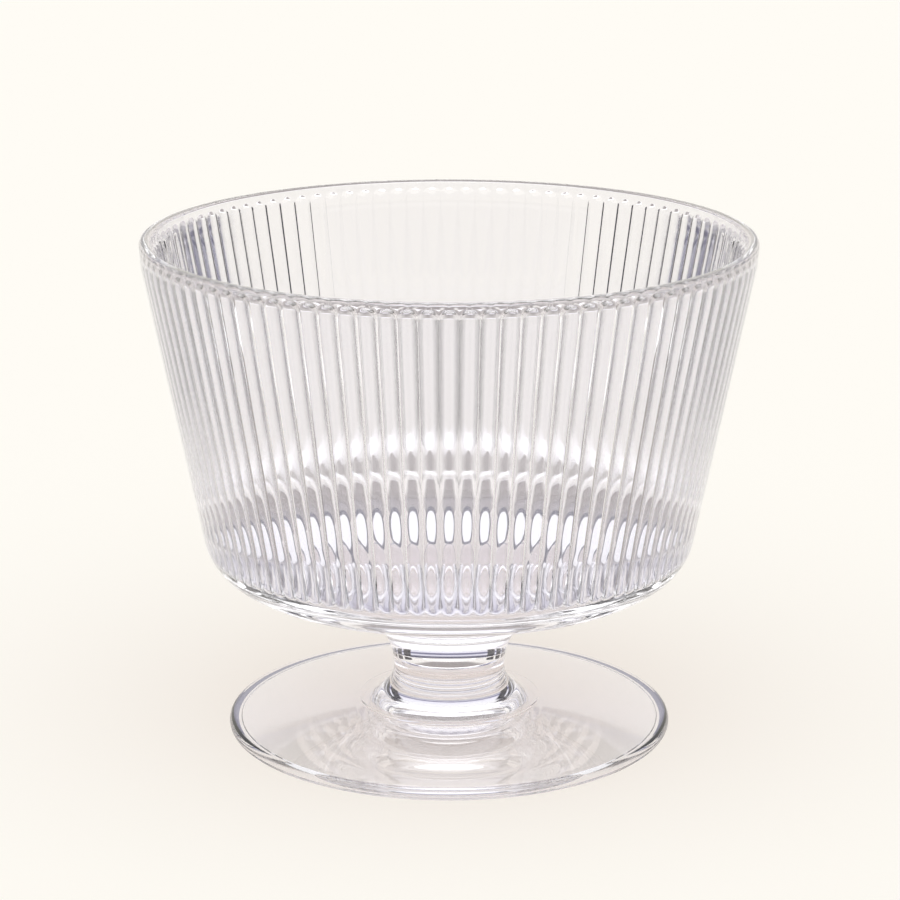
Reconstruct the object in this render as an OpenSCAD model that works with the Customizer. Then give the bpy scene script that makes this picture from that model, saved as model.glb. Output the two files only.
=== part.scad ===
// Footed glass serving bowl, pressed clear glass, in millimetres.
// The origin is the centre of the foot's resting plane, with +Z up the axis of the bowl.
// Three gathers of glass are fused at flat faces: the ribbed bowl with its boss, the stem and the foot.

/* [Overall] */
// Height from the table to the top of the lip
height = 150; // [144:1:170]
// Outer diameter of the bowl at its widest, just under the lip
rim_d = 180; // [170:1:200]

/* [Bowl wall] */
// Height of the heel circle's lowest point above the table
heel_z = 47; // [44:0.5:52]
// Diameter across the outside of the heel circle
heel_d = 146.8; // [134:0.2:156]
// Outer radius of the rounded heel
heel_r = 16.5; // [12:0.5:20]
// Radius of the long curve that brings the wall upright under the lip
lip_sweep_r = 40; // [25:1:60]
// Thickness of the lip at its flat top
lip_t = 3.4; // [2.9:0.1:4]
// Radius of the lip's rounded edges
lip_edge_r = 1; // [0.7:0.1:1.3]
// Thickness of the glass at the heel
heel_t = 4; // [3:0.1:5]
// Radius of the rounded corner between the wall and the floor inside
nook_r = 9; // [7:0.5:11]
// Height of the floor's edge above the heel's lowest point
base_t = 7; // [5:0.5:9]
// Depth of the dished floor below its edge
floor_dip = 1; // [0.5:0.1:3]

/* [Ribs] */
// Number of ribs round the inside of the wall, an even one
rib_count = 100; // [90:2:104]
// Height of a rib's crown over the wall near the lip
rib_top_h = 1.1; // [0.8:0.1:1.4]
// Height of a rib's crown over the wall near the heel
rib_foot_h = 1; // [0.7:0.1:1.2]
// Radius of a rib's rounded crown near the lip
rib_top_r = 4.2; // [3.8:0.1:5]
// Radius of a rib's rounded crown near the heel
rib_foot_r = 3.4; // [3:0.1:4]
// Depth of the ribs' domed tops below the top of the lip
rib_drop = 2; // [1.4:0.1:4]
// Depth to which a rib's body is bedded in the wall near the heel
rib_bed = 0.7; // [0.5:0.1:0.9]

/* [Neck and stem] */
// Radius of the stem at its waist
waist_r = 16.65; // [13:0.05:20]
// Radius of the sweep from the waist up into the bowl's underside
neck_sweep_r = 19.5; // [15:0.5:22]
// Radius of the flare from the waist down onto the foot
flare_r = 9.8; // [8:0.1:11]
// Height of the fused seam ring above the waist
seam_rise = 3.9; // [2:0.1:6]
// Depth of the fine groove round the fused seam
seam_groove = 0.3; // [0.2:0.05:0.4]
// Radius of the stem's toe on the foot
toe_r = 27; // [25:0.5:30]
// Height of the toe's thin edge
toe_edge_h = 0.5; // [0.3:0.1:1]

/* [Foot] */
// Outer diameter of the foot
foot_d = 133; // [120:1:146]
// Height of the flat land under the stem
foot_h = 8.3; // [7:0.1:10]
// Thickness of the foot's bullnose edge
foot_edge_t = 3.8; // [3:0.1:5]
// Width of the flat land that shows round the stem's toe
land_margin = 0.5; // [0.3:0.1:2]
// Width of the flat ring that the foot rests on
rest_w = 2.2; // [1.5:0.1:4]
// Height of the step inside the resting ring
rest_step = 0.8; // [0.4:0.1:1.2]
// Depth of the shallow hollow under the foot at its middle
foot_hollow = 1.8; // [1.4:0.1:3]

/* [Hidden] */
$fn = 128;
// Steps in a long arc, in the nook's, in a lip edge's and in a short one
arc_steps = 12;
nook_steps = 7;
edge_steps = 6;
short_steps = 4;
// Angles of the directions up, inward and down in a profile, and of a full turn
up = asin(1);
inward = acos(-1);
down = inward + up;
turn = 2 * inward;
// Angle at which the stem's flare runs out to its toe
toe_angle = 8;
// Angle of the nook over which the ribs fade into its curve
fade_angle = 35;

rim_r = rim_d / 2;
lip_z = height - lip_edge_r;
heel_c = [heel_d / 2 - heel_r, heel_z + heel_r];
heel_in_r = heel_r - heel_t;
sweep_c = [rim_r - lip_sweep_r, lip_z];
lip_out_c = [rim_r - lip_edge_r, lip_z];
lip_in_c = [rim_r - lip_t + lip_edge_r, lip_z];
waist_z = foot_h + toe_edge_h + flare_r;
seam_z = waist_z + seam_rise;
neck_c = [waist_r + neck_sweep_r, waist_z];
flare_c = [waist_r + flare_r, waist_z];

// Direction of the outward normal on the line that touches circles a and b.
// A concave circle has a negative radius, and a point has none.
function touch(a, ra, b, rb) =
    let (d = b - a)
    atan2(d[1], d[0]) - acos((ra - rb) / norm(d));
function around(c, r, angle) = c + r * [cos(angle), sin(angle)];
function arc(c, r, from, to, steps) =
    [for (i = [0 : steps]) around(c, r, from + (to - from) * i / steps)];

under_n = touch(neck_c, -neck_sweep_r, heel_c, heel_r);
wall_n = touch(heel_c, heel_r, sweep_c, lip_sweep_r);
inner_n = touch(lip_in_c, lip_edge_r, heel_c, -heel_in_r) + turn;

// The inner wall's line touches the lip and a circle inside the heel's. The nook is a smaller circle
// that touches the same line, and its lowest point is at the height of the floor's edge.
wall_top = around(lip_in_c, lip_edge_r, inner_n);
wall_out = -[cos(inner_n), sin(inner_n)];
wall_dir = [-wall_out[1], wall_out[0]];
nook_shift = heel_in_r - nook_r;
nook_rise = (base_t - heel_r + nook_r - wall_out[1] * nook_shift) / wall_dir[1];
nook_c = heel_c + wall_out * nook_shift + wall_dir * nook_rise;
wall_foot = around(nook_c, -nook_r, inner_n);

// The dished floor is part of a large circle on the axis that touches the nook's circle.
floor_q = nook_r + floor_dip;
floor_r = (pow(nook_c[0], 2) + pow(floor_q, 2) - pow(nook_r, 2)) / (2 * floor_dip);
floor_c = [0, nook_c[1] - floor_q + floor_r];
floor_end = atan2(nook_c[1] - floor_c[1], nook_c[0]);

function neck_angle(rise) = inward - asin(rise / neck_sweep_r);
seam_r = neck_c[0] - neck_sweep_r * cos(asin(seam_rise / neck_sweep_r)) - seam_groove;

bowl_outside = concat(
    [[0, seam_z], [seam_r, seam_z]],
    arc(neck_c, neck_sweep_r, neck_angle(seam_rise + seam_groove), under_n + inward, arc_steps),
    arc(heel_c, heel_r, under_n, wall_n, arc_steps),
    arc(sweep_c, lip_sweep_r, wall_n, 0, short_steps)
);
bowl_inside = concat(
    arc(lip_out_c, lip_edge_r, up / edge_steps, up, edge_steps - 1),
    arc(lip_in_c, lip_edge_r, up, inner_n, edge_steps),
    arc(nook_c, nook_r, inner_n - inward, floor_end, nook_steps),
    [for (i = [1 : short_steps])
        around(floor_c, floor_r, floor_end - (floor_end + up) * i / short_steps)]
);

// A rib is a slightly tapered rod with a domed top. Its axis runs between these two points in the
// half plane of the wall, set back from the inner wall line by the crown's radius less its height.
// The rods run on past the start of the nook, where its curve swallows their ends.
rib_run_out = nook_r * sin(fade_angle);
rib_set_back = min(rib_top_r - rib_top_h, rib_foot_r - rib_foot_h);
rib_top_half = sqrt(pow(rib_top_r, 2) - pow(rib_top_r - rib_top_h, 2));
rib_crown = height - rib_drop - rib_top_half;
rib_from = wall_foot - wall_dir * rib_run_out + wall_out * (rib_foot_r - rib_foot_h);
rib_to = wall_foot + wall_dir * (rib_crown - wall_foot[1]) / wall_dir[1]
    + wall_out * (rib_top_r - rib_top_h);
rib_len = norm(rib_to - rib_from);
rib_lean = atan2(rib_to[0] - rib_from[0], rib_to[1] - rib_from[1]);

foot_edge_r = foot_edge_t / 2;
foot_edge_c = [foot_d / 2 - foot_edge_r, foot_edge_r];
land_edge = [toe_r + land_margin, foot_h];
foot_top_n = touch(foot_edge_c, foot_edge_r, land_edge, 0);
rest_in_r = foot_edge_c[0] - rest_w;
hollow_dip = foot_hollow - rest_step;
hollow_r = (pow(rest_in_r, 2) + pow(hollow_dip, 2)) / (2 * hollow_dip);
hollow_c = [0, foot_hollow - hollow_r];
hollow_end = atan2(rest_step - hollow_c[1], rest_in_r);

// One rib: a round rod with a domed top, cut flat where it is bedded in the wall.
module rib() {
    translate([rib_from[0], 0, rib_from[1]])
        rotate([0, rib_lean, 0])
            intersection() {
                rotate_extrude()
                    polygon(concat(
                        [[0, 0], [rib_foot_r, 0]],
                        arc([0, rib_len], rib_top_r, 0, up, short_steps)
                    ));
                translate([-rib_top_r, -rib_top_r, 0])
                    cube([
                        rib_top_r - rib_set_back + rib_bed,
                        2 * rib_top_r,
                        rib_len + rib_top_r
                    ]);
            }
}

// Every second rib of the ring, counted from the front.
module rib_ring(first) {
    for (i = [first : 2 : rib_count - 1])
        rotate([0, 0, turn * i / rib_count - up]) rib();
}

module bowl() {
    color("AliceBlue") union() {
        union() {
            rotate_extrude() polygon(concat(bowl_outside, bowl_inside));
            rib_ring(0);
        }
        rib_ring(1);
    }
}

module stem() {
    color("Lavender") rotate_extrude()
        polygon(concat(
            [[0, foot_h], [toe_r, foot_h], [toe_r, foot_h + toe_edge_h]],
            arc(flare_c, flare_r, down - toe_angle, inward, arc_steps),
            [for (i = [1 : short_steps])
                around(neck_c, neck_sweep_r, neck_angle((seam_rise - seam_groove) * i / short_steps))],
            [[seam_r, seam_z], [0, seam_z]]
        ));
}

module foot() {
    color("GhostWhite") rotate_extrude()
        polygon(concat(
            [for (i = [0 : short_steps])
                around(hollow_c, hollow_r, up + (hollow_end - up) * i / short_steps)],
            [[rest_in_r, 0]],
            arc(foot_edge_c, foot_edge_r, -up, foot_top_n, arc_steps),
            [land_edge, [0, foot_h]]
        ));
}

bowl();
stem();
foot();
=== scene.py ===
"""Looks of a footed serving bowl in clear pressed glass.

Three gathers of glass are fused while hot: the ribbed bowl with its boss, the waisted stem and the
thin foot. Each is modelled here as a closed solid, as fine as its refraction needs, in the place of
its CAD node. Section points are in millimetres and meshes in metres.
"""

from __future__ import annotations

import logging
import math
from dataclasses import dataclass
from enum import Enum
from typing import Callable

import bpy
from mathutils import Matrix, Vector

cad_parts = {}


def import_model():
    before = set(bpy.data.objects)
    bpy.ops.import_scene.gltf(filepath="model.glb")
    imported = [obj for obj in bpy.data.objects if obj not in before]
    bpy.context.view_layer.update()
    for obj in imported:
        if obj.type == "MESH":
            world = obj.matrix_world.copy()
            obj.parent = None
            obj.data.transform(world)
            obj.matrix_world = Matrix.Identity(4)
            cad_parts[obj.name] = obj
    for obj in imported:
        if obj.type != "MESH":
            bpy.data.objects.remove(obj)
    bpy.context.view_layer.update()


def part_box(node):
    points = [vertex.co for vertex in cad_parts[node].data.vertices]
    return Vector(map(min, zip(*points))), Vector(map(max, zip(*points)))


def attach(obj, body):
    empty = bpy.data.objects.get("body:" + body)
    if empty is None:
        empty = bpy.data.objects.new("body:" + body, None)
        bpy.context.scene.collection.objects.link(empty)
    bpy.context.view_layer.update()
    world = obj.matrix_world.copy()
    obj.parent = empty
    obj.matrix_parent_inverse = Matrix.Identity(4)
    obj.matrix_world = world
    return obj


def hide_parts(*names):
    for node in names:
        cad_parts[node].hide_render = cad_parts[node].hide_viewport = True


log = logging.getLogger("serving_bowl")

Point = tuple[float, float]
MM = 0.001

# Directions in a half section, in degrees from outwards, counted upwards, and turns in degrees.
UPWARD, INWARD, DOWNWARD = 90, 180, -90
HALF_TURN, FULL_TURN = 180, 360

# Gaps in metres: points closer than the first are merged, and the second finds a known place.
MERGE_GAP = 0.002 * MM
SAME_PLACE = 0.01 * MM
LEVEL_NORMAL = 0.999
CREASE_DEGREES = 32
LATHE_STEPS = 256


class Body(Enum):
    """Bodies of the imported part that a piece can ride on."""

    ROOT = "root"


class Gather(Enum):
    """The three fused gathers, by the names of their CAD nodes."""

    BOWL = "bowl"
    STEM = "stem"
    FOOT = "foot"


class Element(Enum):
    """Kinds of mesh element that are selected in edit mode."""

    VERTEX = "VERT"
    FACE = "FACE"


# Section geometry, in millimetres, with the radius first and the height second.


def around(centre: Point, radius: float, degrees: float) -> Point:
    """Returns the point of a circle at an angle.

    Args:
        centre: Centre of the circle.
        radius: Radius of the circle.
        degrees: Angle from the outward direction, counted upwards.

    Returns:
        The point on the circle.
    """
    turn = math.radians(degrees)
    return centre[0] + radius * math.cos(turn), centre[1] + radius * math.sin(turn)


def arc(centre: Point, radius: float, start: float, end: float, steps: int) -> list[Point]:
    """Returns evenly spaced points of an arc, both ends included.

    Args:
        centre: Centre of the arc.
        radius: Radius of the arc.
        start: First angle in degrees.
        end: Last angle in degrees.
        steps: Number of steps between the ends.

    Returns:
        The points in order.
    """
    return [around(centre, radius, start + (end - start) * i / steps) for i in range(steps + 1)]


def tangent_normal(a: Point, ra: float, b: Point, rb: float) -> float:
    """Returns the direction of the outward normal of the line that touches two circles.

    Args:
        a: Centre of the first circle.
        ra: Its radius, negative where the circle is hollow to the line.
        b: Centre of the second circle.
        rb: Its radius, negative where the circle is hollow to the line.

    Returns:
        The angle in degrees.
    """
    reach = math.hypot(b[0] - a[0], b[1] - a[1])
    return math.degrees(math.atan2(b[1] - a[1], b[0] - a[0]) - math.acos((ra - rb) / reach))


def straight(a: Point, b: Point, inset: float = 0.25) -> list[Point]:
    """Returns a point near each end of a line, which keep its shading flat between two arcs.

    Args:
        a: Start of the line.
        b: End of the line.
        inset: Distance of each point from its end.

    Returns:
        The two points in order.
    """
    share = inset / math.hypot(b[0] - a[0], b[1] - a[1])
    return [(a[0] + (b[0] - a[0]) * t, a[1] + (b[1] - a[1]) * t) for t in (share, 1 - share)]


# Modelling helpers round bpy.ops.


def deselect() -> None:
    """Leaves edit mode and deselects every object."""
    if bpy.context.object is not None and bpy.context.object.mode != "OBJECT":
        bpy.ops.object.mode_set(mode="OBJECT")
    bpy.ops.object.select_all(action="DESELECT")


def activate(piece: bpy.types.Object) -> None:
    """Makes a piece the active object and the only selected one.

    Args:
        piece: The object.
    """
    deselect()
    bpy.context.view_layer.objects.active = piece
    piece.select_set(True)


def edit(piece: bpy.types.Object, element: Element = Element.VERTEX) -> None:
    """Opens a piece in edit mode with nothing selected.

    Args:
        piece: The mesh object to edit.
        element: The kind of element that is selected.
    """
    activate(piece)
    bpy.ops.object.mode_set(mode="EDIT")
    bpy.ops.mesh.select_mode(type=element.value)
    bpy.ops.mesh.select_all(action="DESELECT")


def pick_vertices(piece: bpy.types.Object, wanted: Callable[[Vector], bool]) -> None:
    """Selects the vertices of the edited piece that lie where they are wanted.

    Args:
        piece: The mesh object in edit mode.
        wanted: Tells for a place in metres whether its vertex is selected.
    """
    bpy.ops.mesh.select_all(action="DESELECT")
    bpy.ops.object.mode_set(mode="OBJECT")
    for vertex in piece.data.vertices:
        vertex.select = wanted(vertex.co)
    bpy.ops.object.mode_set(mode="EDIT")


def draw_section(name: str, section: list[Point]) -> bpy.types.Object:
    """Draws a half section as a chain of edges, from a small plane merged to its first point.

    Args:
        name: Name of the new piece.
        section: Points of the section in millimetres.

    Returns:
        The new object, in edit mode with its last vertex selected.
    """
    deselect()
    bpy.ops.mesh.primitive_plane_add(size=MM)
    piece = bpy.context.object
    piece.name = piece.data.name = name
    bpy.ops.object.mode_set(mode="EDIT")
    bpy.ops.mesh.select_mode(type=Element.VERTEX.value)
    bpy.ops.mesh.select_all(action="SELECT")
    bpy.ops.mesh.merge(type="CENTER")
    bpy.ops.transform.translate(value=(section[0][0] * MM, 0, section[0][1] * MM))
    for before, after in zip(section, section[1:]):
        step = ((after[0] - before[0]) * MM, 0, (after[1] - before[1]) * MM)
        bpy.ops.mesh.extrude_vertices_move(TRANSFORM_OT_translate={"value": step})
    return piece


def spin_all(steps: int, angle: float, copies: bool = False) -> None:
    """Spins all of the edited piece round the upright axis.

    Args:
        steps: Number of steps.
        angle: Angle of all the steps together, in radians.
        copies: Leaves a separate copy at each step, in place of a surface.
    """
    bpy.ops.mesh.select_all(action="SELECT")
    bpy.ops.mesh.spin(steps=steps, angle=angle, dupli=copies, center=(0, 0, 0), axis=(0, 0, 1))


def close_turned(piece: bpy.types.Object) -> None:
    """Merges the doubles of a turned piece, points its faces outwards and shades it smooth.

    Args:
        piece: The mesh object.
    """
    edit(piece)
    bpy.ops.mesh.select_all(action="SELECT")
    bpy.ops.mesh.remove_doubles(threshold=MERGE_GAP)
    bpy.ops.mesh.normals_make_consistent(inside=False)
    activate(piece)
    bpy.ops.object.shade_smooth_by_angle(angle=math.radians(CREASE_DEGREES))


def turn_section(name: str, section: list[Point]) -> bpy.types.Object:
    """Turns a half section into a closed solid, as on a lathe.

    Args:
        name: Name of the new piece.
        section: Points from axis to axis, in millimetres.

    Returns:
        The new object.
    """
    piece = draw_section(name, section)
    spin_all(LATHE_STEPS, math.tau)
    close_turned(piece)
    return piece


# Finishes.


def linear(hex_colour: str) -> tuple[float, float, float, float]:
    """Returns an sRGB hex colour as linear RGBA.

    Args:
        hex_colour: A colour such as #F4F4FA.

    Returns:
        Red, green, blue and an alpha of 1.
    """
    parts = [int(hex_colour[i : i + 2], 16) / 255 for i in (1, 3, 5)]
    red, green, blue = [c / 12.92 if c <= 0.04045 else ((c + 0.055) / 1.055) ** 2.4 for c in parts]
    return red, green, blue, 1.0


def dimmed(hex_colour: str, share: float) -> tuple[float, float, float, float]:
    """Returns a share of an sRGB hex colour's light as linear RGBA.

    Args:
        hex_colour: A colour such as #F4F4FA.
        share: Share of its light.

    Returns:
        Red, green, blue and an alpha of 1.
    """
    red, green, blue, alpha = linear(hex_colour)
    return red * share, green * share, blue * share, alpha


def add_node(
    tree: bpy.types.NodeTree,
    kind: str,
    settings: dict | None = None,
    inputs: dict | None = None,
) -> bpy.types.Node:
    """Adds a node with its settings and links.

    Args:
        tree: The node tree.
        kind: Node type.
        settings: Attributes of the node.
        inputs: Values or output sockets for the node's inputs, by name or number.

    Returns:
        The new node.
    """
    node = tree.nodes.new(kind)
    for name, value in (settings or {}).items():
        setattr(node, name, value)
    for name, value in (inputs or {}).items():
        if isinstance(value, bpy.types.NodeSocket):
            tree.links.new(value, node.inputs[name])
        else:
            node.inputs[name].default_value = value
    return node


def maths(
    tree: bpy.types.NodeTree,
    operation: str,
    first: bpy.types.NodeSocket | float,
    second: bpy.types.NodeSocket | float,
) -> bpy.types.NodeSocket:
    """Adds a node that works out one value from two.

    Args:
        tree: The node tree.
        operation: What it does with them.
        first: The first value.
        second: The second value.

    Returns:
        The socket of the result.
    """
    node = add_node(tree, "ShaderNodeMath", {"operation": operation}, {0: first, 1: second})
    return node.outputs[0]


def mix_shaders(
    tree: bpy.types.NodeTree,
    share: bpy.types.NodeSocket,
    first: bpy.types.Node,
    second: bpy.types.Node,
) -> bpy.types.NodeSocket:
    """Adds a mix of two shaders.

    Args:
        tree: The node tree.
        share: Share of the second shader.
        first: The first shader.
        second: The second shader.

    Returns:
        The socket of the mix.
    """
    shaders = {1: first.outputs[0], 2: second.outputs[0]}
    return add_node(tree, "ShaderNodeMixShader", inputs={0: share, **shaders}).outputs[0]


def seen_rays(tree: bpy.types.NodeTree) -> bpy.types.NodeSocket:
    """Returns a socket that is 1 for the camera's rays and for those that glass or gloss sends on.

    Args:
        tree: The node tree to add to.

    Returns:
        The socket.
    """
    path = add_node(tree, "ShaderNodeLightPath")
    first = maths(tree, "MAXIMUM", path.outputs["Is Camera Ray"], path.outputs["Is Glossy Ray"])
    return maths(tree, "MAXIMUM", first, path.outputs["Is Transmission Ray"])


def empty_tree(owner: bpy.types.Material | bpy.types.World) -> bpy.types.NodeTree:
    """Turns nodes on for a material or world and returns its emptied tree.

    Args:
        owner: The material or world.

    Returns:
        The tree.
    """
    owner.use_nodes = True
    owner.node_tree.nodes.clear()
    return owner.node_tree


def new_material(name: str) -> tuple[bpy.types.Material, bpy.types.NodeTree]:
    """Returns a new material with this name and its emptied tree."""
    made = bpy.data.materials.new(name)
    return made, empty_tree(made)


@dataclass(frozen=True)
class PressedSodaLimeGlass:
    """Clear soda-lime glass, pressed in a polished mould and fire polished.

    The fire polish leaves no grain, so the gloss is that of a liquid. A trace of iron and of the
    decolouring agent gives thick places a cool lilac cast.
    """

    name: str
    tint: str = "#F8F7FA"
    shade: str = "#DECEC8"
    ior: float = 1.5
    roughness: float = 0.0

    def material(self) -> bpy.types.Material:
        """Builds the material: glass to the eye, and a faint tint to light that passes to the floor.

        Returns:
            The material.
        """
        made, tree = new_material(self.name)
        body = add_node(
            tree,
            "ShaderNodeBsdfPrincipled",
            inputs={
                "Base Color": linear(self.tint),
                "Roughness": self.roughness,
                "IOR": self.ior,
                "Transmission Weight": 1.0,
            },
        )
        clear = add_node(tree, "ShaderNodeBsdfTransparent", inputs={"Color": linear(self.shade)})
        rays = add_node(tree, "ShaderNodeLightPath").outputs
        lamp = maths(tree, "MAXIMUM", rays["Is Shadow Ray"], rays["Is Diffuse Ray"])
        both = mix_shaders(tree, lamp, body, clear)
        add_node(tree, "ShaderNodeOutputMaterial", inputs={"Surface": both})
        return made


@dataclass(frozen=True)
class FusedSeam:
    """The inside of a fused joint, where two gathers are one body and light goes straight on."""

    name: str = "fused_glass_seam"

    def material(self) -> bpy.types.Material:
        """Builds the material, or finds it where it is already there.

        Returns:
            The material.
        """
        made = bpy.data.materials.get(self.name)
        if made is None:
            made, tree = new_material(self.name)
            through = add_node(tree, "ShaderNodeBsdfTransparent")
            add_node(tree, "ShaderNodeOutputMaterial", inputs={"Surface": through.outputs[0]})
        return made


@dataclass(frozen=True)
class SeamlessPaper:
    """Pale studio paper, matt and even, that reads as the plain ground behind the glass.

    To the eye and the glass a share of its colour is lit by the lamps, and the rest is its own.
    """

    name: str = "seamless_paper"
    colour: str = "#FFFCF5"
    lamp_colour: str = "#EFECE6"
    lit_share: float = 0.5

    def material(self) -> bpy.types.Material:
        """Builds the material: plain paper to the lamps' light, and an evened one to the eye.

        Returns:
            The material.
        """
        made, tree = new_material(self.name)
        lit = dimmed(self.colour, self.lit_share)
        own = dimmed(self.colour, 1 - self.lit_share)
        paper = add_node(tree, "ShaderNodeBsdfDiffuse", inputs={"Color": linear(self.lamp_colour)})
        share = add_node(tree, "ShaderNodeBsdfDiffuse", inputs={"Color": lit})
        glow = add_node(tree, "ShaderNodeEmission", inputs={"Color": own, "Strength": 1.0})
        evened = {0: share.outputs[0], 1: glow.outputs[0]}
        shown = add_node(tree, "ShaderNodeAddShader", inputs=evened)
        both = mix_shaders(tree, seen_rays(tree), paper, shown)
        add_node(tree, "ShaderNodeOutputMaterial", inputs={"Surface": both})
        return made


def dress(
    piece: bpy.types.Object,
    node: Gather,
    finish: PressedSodaLimeGlass,
    seams: list[Point],
) -> None:
    """Gives a piece its finish and its place in the part.

    Args:
        piece: The modelled object.
        node: The CAD node that it stands for.
        finish: The glass that it is made of.
        seams: Radius and height of each fused face, in millimetres.
    """
    piece.data.materials.clear()
    piece.data.materials.append(finish.material())
    piece.data.materials.append(FusedSeam().material())
    edit(piece, Element.FACE)
    bpy.ops.object.mode_set(mode="OBJECT")
    for face in piece.data.polygons:
        at, level = face.center, abs(face.normal.z) > LEVEL_NORMAL
        face.select = level and any(
            abs(at.z - height * MM) < SAME_PLACE and math.hypot(at.x, at.y) < radius * MM
            for radius, height in seams
        )
    bpy.ops.object.mode_set(mode="EDIT")
    piece.active_material_index = 1
    bpy.ops.object.material_slot_assign()
    deselect()
    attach(piece, Body.ROOT.value)
    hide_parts(node.value)
    log.info("%s: %d faces", piece.name, len(piece.data.polygons))


# The three gathers. In their sizes, _r is a radius, _t a thickness, _h a height over its ground,
# _x and _z a place, and _n the direction of a line's outward normal in degrees.


@dataclass
class Neck:
    """Sizes of the waist, of the seam above it and of the toe, which the gathers share."""

    foot_top: float
    waist_r: float = 16.65
    sweep_r: float = 19.5
    flare_r: float = 9.8
    seam_rise: float = 3.9
    groove: float = 0.3
    toe_r: float = 27.0
    toe_edge_h: float = 0.5

    @property
    def waist_z(self) -> float:
        """Height of the waist."""
        return self.foot_top + self.toe_edge_h + self.flare_r

    @property
    def centre(self) -> Point:
        """Centre of the sweep from the waist up into the bowl."""
        return self.waist_r + self.sweep_r, self.waist_z

    @property
    def seam(self) -> Point:
        """Radius at the bottom of the seam's groove, and height of the seam."""
        groove_r = self.centre[0] - math.sqrt(self.sweep_r**2 - self.seam_rise**2) - self.groove
        return groove_r, self.waist_z + self.seam_rise

    @property
    def toe(self) -> Point:
        """Radius and height of the toe's fused face."""
        return self.toe_r, self.foot_top

    def angle(self, rise: float) -> float:
        """Returns the angle on the sweep at a height above the waist."""
        return INWARD - math.degrees(math.asin(rise / self.sweep_r))


@dataclass
class RibbedBowl:
    """The conical cup with its flat-topped lip, inner ribs, dished floor and solid boss.

    A rib is a tapered rod with a domed top, set back in the wall. Rows of points on the wall lie at
    angles of the dome, at an inset from either end of the rod and at shares of its length between
    them. The height of the rib over each point is probed in small steps.
    """

    height: float
    neck: Neck
    rim_r: float = 90.0
    heel_r: float = 16.5
    heel_x: float = 56.9
    heel_z: float = 63.5
    heel_t: float = 4.0
    sweep_r: float = 40.0
    lip_t: float = 3.4
    lip_edge_r: float = 1.0
    nook_r: float = 9.0
    floor_z: float = 54.0
    floor_dip: float = 1.0
    rib_count: int = 100
    rib_top_h: float = 1.1
    rib_foot_h: float = 1.0
    rib_top_r: float = 4.2
    rib_foot_r: float = 3.4
    rib_drop: float = 2.0
    fade_angle: float = 35.0
    glass: PressedSodaLimeGlass = PressedSodaLimeGlass("pressed_glass_bowl")
    neck_steps: int = 12
    heel_steps: int = 22
    under_lip_steps: int = 6
    lip_steps: int = 5
    nook_steps: int = 20
    floor_steps: int = 9
    dome_angles: tuple[int, ...] = (0, 14, 28, 42, 56, 70, 90)
    row_shares: tuple[float, ...] = (0.8, 0.55, 0.3, 0.1)
    row_inset: float = 0.3
    half_columns: int = 4
    probe_step: float = 0.01
    probe_count: int = 300

    def __post_init__(self) -> None:
        """Works out the circles and lines that the sizes give."""
        lip_z = self.height - self.lip_edge_r
        self.lip_out = (self.rim_r - self.lip_edge_r, lip_z)
        self.lip_in = (self.rim_r - self.lip_t + self.lip_edge_r, lip_z)
        self.sweep = (self.rim_r - self.sweep_r, lip_z)
        self.heel = (self.heel_x, self.heel_z)
        heel_in = self.heel_r - self.heel_t
        self.under_n = tangent_normal(self.neck.centre, -self.neck.sweep_r, self.heel, self.heel_r)
        self.wall_n = tangent_normal(self.heel, self.heel_r, self.sweep, self.sweep_r)
        inner_n = tangent_normal(self.lip_in, self.lip_edge_r, self.heel, -heel_in)
        self.inner_n = inner_n + FULL_TURN
        top = around(self.lip_in, self.lip_edge_r, self.inner_n)
        bottom = around(self.heel, -heel_in, self.inner_n)
        run = (top[0] - bottom[0], top[1] - bottom[1])
        length = math.hypot(*run)
        self.up = (run[0] / length, run[1] / length)
        self.out = (self.up[1], -self.up[0])

        # The nook's circle touches the inner wall line, and its lowest point is at the floor's edge.
        shift = heel_in - self.nook_r
        rise = (self.floor_z + self.nook_r - self.heel_z - self.out[1] * shift) / self.up[1]
        nook_x = self.heel_x + self.out[0] * shift + self.up[0] * rise
        self.nook = (nook_x, self.floor_z + self.nook_r)
        self.wall_foot = around(self.nook, -self.nook_r, self.inner_n)

        # The rods start behind the nook, whose curve swallows their ends.
        back = self.nook_r * math.sin(math.radians(self.fade_angle))
        foot_in, top_in = self.rib_foot_r - self.rib_foot_h, self.rib_top_r - self.rib_top_h
        self.dome_r = math.sqrt(self.rib_top_r**2 - top_in**2)
        self.rib_end = (self.height - self.rib_drop - self.dome_r - self.wall_foot[1]) / self.up[1]
        self.rod = (self.beside(-back, foot_in), self.beside(self.rib_end, top_in))

    def beside(self, run: float, out: float) -> Point:
        """Returns a point beside the inner wall line.

        Args:
            run: Distance up the wall from its foot.
            out: Distance outwards from the wall.

        Returns:
            The point.
        """
        return (
            self.wall_foot[0] + self.up[0] * run + self.out[0] * out,
            self.wall_foot[1] + self.up[1] * run + self.out[1] * out,
        )

    def outside(self) -> list[Point]:
        """Draws the section from the axis under the boss, up the outside to the lip's edge.

        Returns:
            The points in order.
        """
        neck = self.neck
        start, end = neck.angle(neck.seam_rise + neck.groove), self.under_n + HALF_TURN
        sweep = arc(neck.centre, neck.sweep_r, start, end, self.neck_steps)
        heel = arc(self.heel, self.heel_r, self.under_n, self.wall_n, self.heel_steps)
        under_lip = arc(self.sweep, self.sweep_r, self.wall_n, 0, self.under_lip_steps)
        return (
            [(0.0, neck.seam[1]), neck.seam]
            + sweep
            + straight(sweep[-1], heel[0])
            + heel
            + straight(heel[-1], under_lip[0])
            + under_lip
        )

    def over_lip(self) -> list[Point]:
        """Returns the section from the lip's outer edge over its flat top to the inner wall."""
        outer = arc(self.lip_out, self.lip_edge_r, 0, UPWARD, self.lip_steps)[1:]
        return outer + arc(self.lip_in, self.lip_edge_r, UPWARD, self.inner_n, self.lip_steps)

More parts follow.
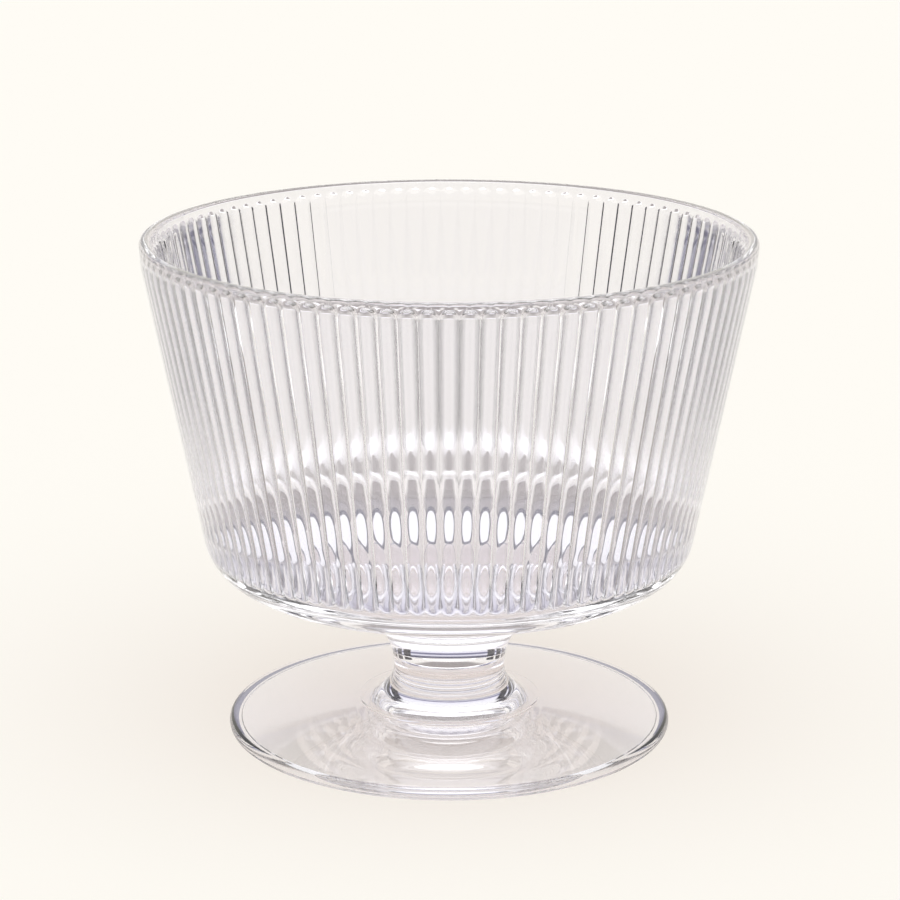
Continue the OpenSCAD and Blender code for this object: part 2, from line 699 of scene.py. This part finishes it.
    def ribbed(self) -> list[Point]:
        """Draws the section down the inner wall and round the nook, where the ribs stand.

        Returns:
            The points in order.
        """
        end = self.rib_end
        dome = [end + self.dome_r * math.cos(math.radians(a)) for a in self.dome_angles]
        rows = [end * share for share in self.row_shares]
        runs = [*dome, end - self.row_inset, *rows, self.row_inset, 0.0]
        start, last = self.inner_n - HALF_TURN, self.floor_circle()[2]
        curve = arc(self.nook, self.nook_r, start, last, self.nook_steps)[1:]
        return [self.beside(run, 0) for run in runs] + curve

    def across_floor(self) -> list[Point]:
        """Returns the section of the dished floor, from the nook to the axis."""
        middle, radius, start = self.floor_circle()
        return arc(middle, radius, start, DOWNWARD, self.floor_steps)[1:]

    def floor_circle(self) -> tuple[Point, float, float]:
        """Works out the circle of the dished floor, which touches the nook's.

        Returns:
            Its centre and radius, and the angle at which the floor starts.
        """
        drop = self.nook_r + self.floor_dip
        radius = (self.nook[0] ** 2 + drop**2 - self.nook_r**2) / (2 * self.floor_dip)
        middle = (0.0, self.nook[1] - drop + radius)
        return middle, radius, math.degrees(math.atan2(self.nook[1] - middle[1], self.nook[0]))

    def lift(self, place: Point, inward: Point, degrees: float) -> float:
        """Returns how far a rib stands proud of the smooth inside at a place.

        Args:
            place: Point of the smooth section.
            inward: Direction off the glass there.
            degrees: Turn from the rib's middle.

        Returns:
            The height in millimetres, 0 where the smooth inside covers the rib.
        """
        turn = math.radians(degrees)
        start, end = (Vector((point[0], 0, point[1])) for point in self.rod)
        axis, length = (end - start).normalized(), (end - start).length
        best = 0.0
        for step in range(1, self.probe_count + 1):
            height = step * self.probe_step
            r, z = place[0] + inward[0] * height, place[1] + inward[1] * height
            spot = Vector((r * math.cos(turn), r * math.sin(turn), z)) - start
            along = spot.dot(axis)
            share = min(max(along / length, 0), 1)
            radius = self.rib_foot_r + (self.rib_top_r - self.rib_foot_r) * share
            off = (spot - axis * min(max(along, 0), length)).length
            if along >= 0 and off <= radius:
                best = height
        return best

    def push(
        self, piece: bpy.types.Object, place: Point, inward: Point, degrees: float, lift: float
    ) -> None:
        """Raises one point of the slice's inside to the rib's surface.

        Args:
            piece: The slice, in edit mode.
            place: Point of the smooth section.
            inward: Direction off the glass there.
            degrees: Turn from the rib's middle.
            lift: How far the point rises.
        """
        turn = math.radians(degrees)
        ahead, aside = math.cos(turn), math.sin(turn)
        spot = Vector((place[0] * ahead, place[0] * aside, place[1])) * MM
        pick_vertices(piece, lambda co: (co - spot).length < SAME_PLACE)
        move = Vector((inward[0] * ahead, inward[0] * aside, inward[1])) * lift * MM
        bpy.ops.transform.translate(value=move)

    def raise_rib(self, piece: bpy.types.Object, section: list[Point], first: int) -> None:
        """Raises half a rib from the slice's smooth inside.

        Args:
            piece: The slice, in edit mode.
            section: The slice's whole section.
            first: Number of the section's point at which the ribs start.
        """
        for i, place in enumerate(self.ribbed(), first):
            before, after = section[i - 1], section[i + 1]
            dx, dz = after[0] - before[0], after[1] - before[1]
            size = math.hypot(dx, dz)
            inward = (dz / size, -dx / size)
            for column in range(self.half_columns + 1):
                degrees = HALF_TURN / self.rib_count * column / self.half_columns
                lift = self.lift(place, inward, degrees)
                if lift > 0:
                    self.push(piece, place, inward, degrees, lift)

    def model(self) -> bpy.types.Object:
        """Models half a rib's slice of the bowl, mirrors it and turns it into the whole ring.

        Returns:
            The new object.
        """
        before_ribs = self.outside() + self.over_lip()
        section = before_ribs + self.ribbed() + self.across_floor()
        piece = draw_section(Gather.BOWL.value + "_glass", section)
        spin_all(self.half_columns, -math.radians(HALF_TURN / self.rib_count))
        self.raise_rib(piece, section, len(before_ribs))
        activate(piece)
        mirror = piece.modifiers.new("other_half", "MIRROR")
        mirror.use_axis = (False, True, False)
        mirror.merge_threshold = MERGE_GAP
        bpy.ops.object.modifier_apply(modifier=mirror.name)
        edit(piece)
        copies = self.rib_count - 1
        spin_all(copies, math.tau * copies / self.rib_count, copies=True)
        close_turned(piece)
        return piece

    def build(self) -> None:
        """Models the bowl and dresses it."""
        dress(self.model(), Gather.BOWL, self.glass, [self.neck.seam])


@dataclass
class WaistedStem:
    """The short solid stem from the seam ring down to its flared toe."""

    neck: Neck
    toe_angle: float = 8.0
    glass: PressedSodaLimeGlass = PressedSodaLimeGlass("pressed_glass_stem")
    flare_steps: int = 18
    sweep_steps: int = 6

    def model(self) -> bpy.types.Object:
        """Turns the stem's section.

        Returns:
            The new object.
        """
        neck = self.neck
        centre = (neck.waist_r + neck.flare_r, neck.waist_z)
        start = DOWNWARD + FULL_TURN - self.toe_angle
        flare = arc(centre, neck.flare_r, start, INWARD, self.flare_steps)
        end = neck.angle(neck.seam_rise - neck.groove)
        sweep = arc(neck.centre, neck.sweep_r, INWARD, end, self.sweep_steps)
        section = (
            [(0.0, neck.foot_top), neck.toe, (neck.toe_r, neck.foot_top + neck.toe_edge_h)]
            + flare
            + sweep[1:]
            + [neck.seam, (0.0, neck.seam[1])]
        )
        return turn_section(Gather.STEM.value + "_glass", section)

    def build(self) -> None:
        """Models the stem and dresses it."""
        dress(self.model(), Gather.STEM, self.glass, [self.neck.seam, self.neck.toe])


@dataclass
class ThinFoot:
    """The wide thin disc with a bullnose edge, hollowed a little underneath."""

    neck: Neck
    foot_r: float = 66.5
    land_margin: float = 0.5
    edge_t: float = 3.8
    rest_w: float = 2.2
    rest_step: float = 0.8
    rest_edge_r: float = 0.25
    hollow: float = 2.4
    glass: PressedSodaLimeGlass = PressedSodaLimeGlass("pressed_glass_foot", shade="#FFFFFF")
    hollow_steps: int = 10
    rest_steps: int = 4
    edge_steps: int = 16

    def underneath(self, rest_in: float) -> list[Point]:
        """Draws the section of the hollow and of the resting ring's rounded inner edge.

        Args:
            rest_in: Inner radius of the resting ring.

        Returns:
            The points in order.
        """
        dip = self.hollow - self.rest_step
        radius = (rest_in**2 + dip**2) / (2 * dip)
        middle = (0.0, self.hollow - radius)
        end = math.degrees(math.atan2(self.rest_step - middle[1], rest_in))
        corner = (rest_in + self.rest_edge_r, self.rest_edge_r)
        below = DOWNWARD + FULL_TURN
        inner_edge = arc(corner, self.rest_edge_r, INWARD, below, self.rest_steps)
        return arc(middle, radius, UPWARD, end, self.hollow_steps) + inner_edge

    def model(self) -> bpy.types.Object:
        """Turns the foot's section.

        Returns:
            The new object.
        """
        edge_r = self.edge_t / 2
        centre = (self.foot_r - edge_r, edge_r)
        land = (self.neck.toe_r + self.land_margin, self.neck.foot_top)
        top_n = tangent_normal(centre, edge_r, land, 0)
        bullnose = arc(centre, edge_r, DOWNWARD, top_n, self.edge_steps)
        section = (
            self.underneath(centre[0] - self.rest_w)
            + bullnose
            + straight(bullnose[-1], land)
            + [land, self.neck.toe, (0.0, self.neck.foot_top)]
        )
        return turn_section(Gather.FOOT.value + "_glass", section)

    def build(self) -> None:
        """Models the foot and dresses it."""
        dress(self.model(), Gather.FOOT, self.glass, [self.neck.toe])


# The studio.


@dataclass(frozen=True)
class Card:
    """A card beside the glass, out of the camera's sight, that fades out towards its edge.

    Lengths are in metres, and angles in degrees, with 0 in front and 180 behind. A card with an
    edge of another colour is round, and any other is soft at its left and right side. A mirrored
    card shows in reflections, a through one through the glass, and a deep one only to rays that
    have passed three faces of glass.
    """

    name: str
    colour: str
    azimuths: tuple[int, ...]
    reach: float
    width: float
    height: float
    level: float
    lean: float = UPWARD
    fade: float = 0.15
    glow: float = 1.0
    edge: str | None = None
    edge_span: tuple[float, float] = (0.1, 0.13)
    mirrored: bool = False
    through: bool = True
    deep: bool = False
    deep_from: float = 2.5

    def from_sides(self, tree: bpy.types.NodeTree) -> bpy.types.NodeSocket:
        """Adds the distance in from the nearer of the left and right side.

        Args:
            tree: The material's tree.

        Returns:
            Its socket, as a share of the card's width.
        """
        where = add_node(tree, "ShaderNodeTexCoord")
        parts = add_node(tree, "ShaderNodeSeparateXYZ", inputs={0: where.outputs["UV"]})
        return maths(tree, "PINGPONG", parts.outputs["X"], 0.5)

    def from_rim(self, tree: bpy.types.NodeTree) -> bpy.types.NodeSocket:
        """Adds the distance in from the rim of a round card.

        Args:
            tree: The material's tree.

        Returns:
            Its socket, as a share of the card's width.
        """
        where = add_node(tree, "ShaderNodeTexCoord")
        ends = {0: where.outputs["UV"], 1: (0.5, 0.5, 0)}
        off = add_node(tree, "ShaderNodeVectorMath", {"operation": "DISTANCE"}, ends)
        return maths(tree, "SUBTRACT", 0.5, off.outputs["Value"])

    def edged(self, tree: bpy.types.NodeTree, inward: bpy.types.NodeSocket) -> bpy.types.NodeSocket:
        """Adds the colour of a round card with its edge.

        Args:
            tree: The material's tree.
            inward: Distance in from the rim.

        Returns:
            The colour's socket.
        """
        ring = add_node(tree, "ShaderNodeValToRGB", inputs={0: inward})
        colours = (self.edge, self.colour)
        for spot, place, colour in zip(ring.color_ramp.elements, self.edge_span, colours):
            spot.position, spot.color = place, linear(colour)
        return ring.outputs[0]

    def material(self) -> bpy.types.Material:
        """Builds the card's plain light, which fades out into clear air.

        Returns:
            The material.
        """
        made, tree = new_material(self.name)
        if self.edge is None:
            inward, colour = self.from_sides(tree), linear(self.colour)
        else:
            inward = self.from_rim(tree)
            colour = self.edged(tree, inward)
        span = {"Value": inward, "From Min": 0.0, "From Max": self.fade}
        smooth = {"interpolation_type": "SMOOTHSTEP"}
        soft = add_node(tree, "ShaderNodeMapRange", smooth, span).outputs[0]
        if self.deep:
            passed = add_node(tree, "ShaderNodeLightPath").outputs["Transmission Depth"]
            soft = maths(tree, "MULTIPLY", soft, maths(tree, "GREATER_THAN", passed, self.deep_from))
        plain = add_node(tree, "ShaderNodeEmission", inputs={0: colour, 1: self.glow})
        clear = add_node(tree, "ShaderNodeBsdfTransparent")
        both = mix_shaders(tree, soft, clear, plain)
        add_node(tree, "ShaderNodeOutputMaterial", inputs={"Surface": both})
        return made

    def stand(self) -> None:
        """Stands the card at each of its places."""
        made = self.material()
        for azimuth in self.azimuths:
            turn = math.radians(azimuth)
            deselect()
            bpy.ops.mesh.primitive_plane_add(
                size=1,
                location=(self.reach * math.sin(turn), -self.reach * math.cos(turn), self.level),
                rotation=(math.radians(self.lean), 0, turn),
            )
            plane = bpy.context.object
            plane.name = plane.data.name = f"{self.name}_{azimuth:g}"
            plane.scale = (self.width, self.height, 1)
            plane.data.materials.append(made)
            plane.visible_camera = plane.visible_diffuse = plane.visible_shadow = False
            plane.visible_glossy, plane.visible_transmission = self.mirrored, self.through


SIDES = (0, 90, 180, 270)
HIGH_CARD = Card(
    name="high_card",
    colour="#2C2A32",
    azimuths=(125, 235),
    reach=0.25,
    width=0.24,
    height=0.15,
    level=0.2,
    fade=0.12,
)
STRIP_CARD = Card(
    name="strip_card",
    colour="#2A2830",
    azimuths=(100, 112, 124, 136, 148, 212, 224, 236, 248, 260),
    reach=0.3,
    width=0.056,
    height=0.15,
    level=0.077,
    fade=0.16,
)
# A grey-brown sheet laid flat on the floor round the bowl and seen only through the glass: a painted
# shadow of the bowl on the ground.
GROUND_SHADOW_CARD = Card(
    name="painted_ground_shadow_card",
    colour="#A8A19F",
    azimuths=SIDES,
    reach=0.205,
    width=0.15,
    height=0.205,
    level=0.001,
    lean=0,
    fade=0.25,
)
# A white strip laid flat on the floor and seen only through the glass, glowing brighter than the lit
# paper: painted light, not a lamp.
LIGHT_STRIP_CARD = Card(
    name="painted_light_strip_card",
    colour="#FFFFFF",
    azimuths=SIDES,
    reach=0.322,
    width=0.2,
    height=0.026,
    level=0.001,
    lean=0,
    fade=0.2,
    glow=1.6,
)
# A round patch laid flat under the bowl beside the stem, seen only through three or more faces of
# glass: painted light that glows white, inside a painted dark rim of shade.
LIGHT_OVAL_CARD = Card(
    name="painted_light_oval_card",
    colour="#FFFFFF",
    azimuths=SIDES,
    reach=0.078,
    width=0.08,
    height=0.052,
    level=0.012,
    lean=0,
    fade=0.02,
    glow=1.2,
    edge="#52505C",
    deep=True,
)
FAR_CARD = Card(
    name="far_card",
    colour="#FFFCF5",
    azimuths=SIDES,
    reach=0.9,
    width=1.7,
    height=0.42,
    level=0.23,
    fade=0.04,
    mirrored=True,
    through=False,
)


@dataclass(frozen=True)
class ContactShade:
    """The dark line where the foot's edge meets the paper, which shows through the glass alone.

    Lengths are in metres, and the flatness is its height as a share of its width.
    """

    name: str = "contact_shade"
    colour: str = "#7C7A90"
    radius: float = 0.0643
    half_width: float = 0.0009
    level: float = -0.0001
    flatness: float = 0.03
    ring_steps: int = 128
    tube_steps: int = 8

    def material(self) -> bpy.types.Material:
        """Builds the shade's plain colour.

        Returns:
            The material.
        """
        made, tree = new_material(self.name)
        dark = add_node(tree, "ShaderNodeEmission", inputs={0: linear(self.colour), 1: 1.0})
        add_node(tree, "ShaderNodeOutputMaterial", inputs={"Surface": dark.outputs[0]})
        return made

    def lay(self) -> None:
        """Lays the shade as a flattened ring between the paper and the foot."""
        deselect()
        bpy.ops.mesh.primitive_torus_add(
            major_segments=self.ring_steps,
            minor_segments=self.tube_steps,
            major_radius=self.radius,
            minor_radius=self.half_width,
        )
        ring = bpy.context.object
        ring.name = ring.data.name = self.name
        ring.scale.z = self.flatness
        ring.location.z = self.level
        ring.data.materials.append(self.material())
        ring.visible_camera = ring.visible_diffuse = ring.visible_shadow = False
        ring.visible_glossy = False


@dataclass
class Studio:
    """Pale seamless ground, cards, soft light and the camera at the photograph's viewing angle.

    Lengths are in metres, but for the sensor's width in millimetres. The camera's pitch is in
    radians and the sun's spread in degrees. Each sky band has the sine of its height over the
    horizon and its colour.
    """

    paper: SeamlessPaper = SeamlessPaper()
    ground_r: float = 9.0
    ground_level: float = -0.0002
    ground_sides: int = 96
    kit: tuple[Card, ...] = (HIGH_CARD, STRIP_CARD, GROUND_SHADOW_CARD, LIGHT_STRIP_CARD, LIGHT_OVAL_CARD, FAR_CARD)
    contact: ContactShade = ContactShade()
    camera_place: tuple[float, float, float] = (0.000256, -0.87867, 0.33024)
    pitch: float = 0.272
    focal_px: float = 3074.5
    frame_px: float = 900.0
    sensor_mm: float = 36.0
    clip: tuple[float, float] = (0.01, 50.0)
    sky_bands: tuple[tuple[float, str], ...] = (
        (0.03, "#FFFCF5"),
        (0.055, "#5A5970"),
        (0.09, "#5A5970"),
        (0.115, "#E9E8F4"),
        (0.155, "#E9E8F4"),
        (0.18, "#7C7A98"),
        (0.24, "#7C7A98"),
        (0.27, "#F3F2FC"),
        (0.33, "#F3F2FC"),
        (0.48, "#FFFFFF"),
    )
    zenith: str = "#FFFFFF"
    fill_power: float = 0.45
    sun_spread: float = 80.0
    sun_power: float = 1.82
    sun_place: tuple[float, float, float] = (0.0, -0.4, 1.2)
    bounces: int = 32
    mirror_bounces: int = 16
    clear_bounces: int = 48

    def ground(self) -> None:
        """Lays the paper on the floor."""
        deselect()
        bpy.ops.mesh.primitive_circle_add(
            vertices=self.ground_sides,
            radius=self.ground_r,
            fill_type="NGON",
            location=(0, 0, self.ground_level),
        )
        floor = bpy.context.object
        floor.name = floor.data.name = "paper_ground"
        floor.data.materials.append(self.paper.material())

    def sky(self, tree: bpy.types.NodeTree) -> bpy.types.NodeSocket:
        """Adds the sky's bands, from the paper's colour at the horizon up to the zenith.

        Args:
            tree: The world's tree.

        Returns:
            The socket of their colour.
        """
        where = add_node(tree, "ShaderNodeTexCoord")
        parts = add_node(tree, "ShaderNodeSeparateXYZ", inputs={0: where.outputs["Generated"]})
        sky = add_node(tree, "ShaderNodeValToRGB", inputs={0: parts.outputs["Z"]})
        spots = sky.color_ramp.elements
        for spot, place, colour in zip(spots, (0.0, 1.0), (self.paper.colour, self.zenith)):
            spot.position, spot.color = place, linear(colour)
        for place, colour in self.sky_bands:
            spots.new(place).color = linear(colour)
        return sky.outputs[0]

    def world(self) -> None:
        """Sets the surround: the paper's colour to the eye, bands to the glass, and an even fill.

        A mix of colours has its two colours at inputs 6 and 7 and its result at output 2.
        """
        world = bpy.data.worlds.new("studio_surround")
        bpy.context.scene.world = world
        tree = empty_tree(world)
        eye = add_node(tree, "ShaderNodeLightPath").outputs["Is Camera Ray"]
        colours = {0: eye, 6: self.sky(tree), 7: linear(self.paper.colour)}
        plain = add_node(tree, "ShaderNodeMix", {"data_type": "RGBA"}, colours)
        shown = add_node(tree, "ShaderNodeBackground", inputs={0: plain.outputs[2], 1: 1.0})
        even = {0: linear("#FFFFFF"), 1: self.fill_power}
        fill = add_node(tree, "ShaderNodeBackground", inputs=even)
        both = mix_shaders(tree, seen_rays(tree), fill, shown)
        add_node(tree, "ShaderNodeOutputWorld", inputs={"Surface": both})

    def sun(self) -> None:
        """Lights everything evenly from above, as a very wide soft box does."""
        deselect()
        bpy.ops.object.light_add(type="SUN", location=self.sun_place)
        lamp = bpy.context.object
        lamp.name = lamp.data.name = "wide_softbox"
        lamp.data.angle = math.radians(self.sun_spread)
        lamp.data.energy = self.sun_power
        lamp.rotation_euler = (-lamp.location).to_track_quat("-Z", "Y").to_euler()

    def camera(self) -> None:
        """Sets the camera up at the photograph's viewing angle."""
        data = bpy.data.cameras.new("photograph_view")
        camera = bpy.data.objects.new("photograph_view", data)
        bpy.context.scene.collection.objects.link(camera)
        data.sensor_width = self.sensor_mm
        data.lens = self.focal_px / self.frame_px * self.sensor_mm
        data.clip_start, data.clip_end = self.clip
        camera.location = self.camera_place
        camera.rotation_euler = (math.pi / 2 - self.pitch, 0, 0)
        bpy.context.scene.camera = camera

    def build(self) -> None:
        """Sets up the whole studio, with light paths that are long enough for the glass."""
        scene = bpy.context.scene
        scene.view_settings.view_transform = "Standard"
        scene.cycles.max_bounces = self.bounces
        scene.cycles.transmission_bounces = self.bounces
        scene.cycles.glossy_bounces = self.mirror_bounces
        scene.cycles.transparent_max_bounces = self.clear_bounces
        self.ground()
        for card in self.kit:
            card.stand()
        self.contact.lay()
        self.world()
        self.sun()
        self.camera()


def main() -> None:
    """Builds the three gathers in order and then the studio."""
    logging.basicConfig(level=logging.INFO, format="%(name)s: %(message)s")
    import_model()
    bowl_box, foot_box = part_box(Gather.BOWL.value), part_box(Gather.FOOT.value)
    neck = Neck(foot_top=foot_box[1].z / MM)
    RibbedBowl(height=bowl_box[1].z / MM, neck=neck).build()
    WaistedStem(neck=neck).build()
    ThinFoot(neck=neck).build()
    Studio().build()


if __name__ == "__main__":
    main()
